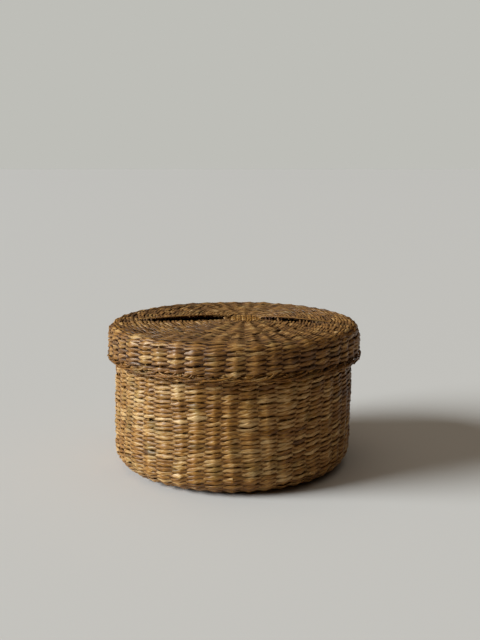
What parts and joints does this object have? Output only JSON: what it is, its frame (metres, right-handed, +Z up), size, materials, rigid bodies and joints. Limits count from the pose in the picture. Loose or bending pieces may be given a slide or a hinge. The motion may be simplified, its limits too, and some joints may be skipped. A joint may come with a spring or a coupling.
{
  "type": "lidded basket",
  "caption": "Small round twined straw basket with straight sides, a rounded foot and a pull-off lid whose skirt fits over the rim.",
  "frame": {"origin": "middle of the flat foot that the basket stands on", "axes": "+Z up along the basket's axis, -Y towards the front of the picture, +X to the right"},
  "size_m": [0.15, 0.15, 0.0866],
  "materials": {
    "woven_straw": "dry twined straw, satin, honey tan with browner and greener strands",
    "border_straw": "finer turned-down straw, satin, a little browner than the weave",
    "stake_straw": "dull brown inner straw"
  },
  "bodies": {
    "basket": {"basket_base_weave": "woven_straw", "basket_foot_weave": "woven_straw", "basket_wall_weave": "woven_straw", "basket_rim_border": "border_straw", "basket_stake_01": "stake_straw", "basket_stake_02": "stake_straw", "basket_stake_03": "stake_straw", "basket_stake_04": "stake_straw", "basket_stake_05": "stake_straw", "basket_stake_06": "stake_straw", "basket_stake_07": "stake_straw", "basket_stake_08": "stake_straw", "basket_stake_09": "stake_straw", "basket_stake_10": "stake_straw", "basket_stake_11": "stake_straw", "basket_stake_12": "stake_straw", "basket_stake_13": "stake_straw", "basket_stake_14": "stake_straw", "basket_stake_15": "stake_straw", "basket_stake_16": "stake_straw", "basket_stake_17": "stake_straw", "basket_stake_18": "stake_straw", "basket_stake_19": "stake_straw", "basket_stake_20": "stake_straw", "basket_stake_21": "stake_straw", "basket_stake_22": "stake_straw"},
    "lid": {"lid_top_weave": "woven_straw", "lid_skirt_weave": "woven_straw", "lid_edge_border": "border_straw", "lid_stake_01": "stake_straw", "lid_stake_02": "stake_straw", "lid_stake_03": "stake_straw", "lid_stake_04": "stake_straw", "lid_stake_05": "stake_straw", "lid_stake_06": "stake_straw", "lid_stake_07": "stake_straw", "lid_stake_08": "stake_straw", "lid_stake_09": "stake_straw", "lid_stake_10": "stake_straw", "lid_stake_11": "stake_straw", "lid_stake_12": "stake_straw", "lid_stake_13": "stake_straw", "lid_stake_14": "stake_straw", "lid_stake_15": "stake_straw", "lid_stake_16": "stake_straw", "lid_stake_17": "stake_straw", "lid_stake_18": "stake_straw", "lid_stake_19": "stake_straw", "lid_stake_20": "stake_straw", "lid_stake_21": "stake_straw", "lid_stake_22": "stake_straw"}
  },
  "joints": [
    {"name": "lid_lift", "type": "slide", "parent": "basket", "child": "lid", "axis": [0, 0, 1], "range_m": [0, 0.06]}
  ]
}
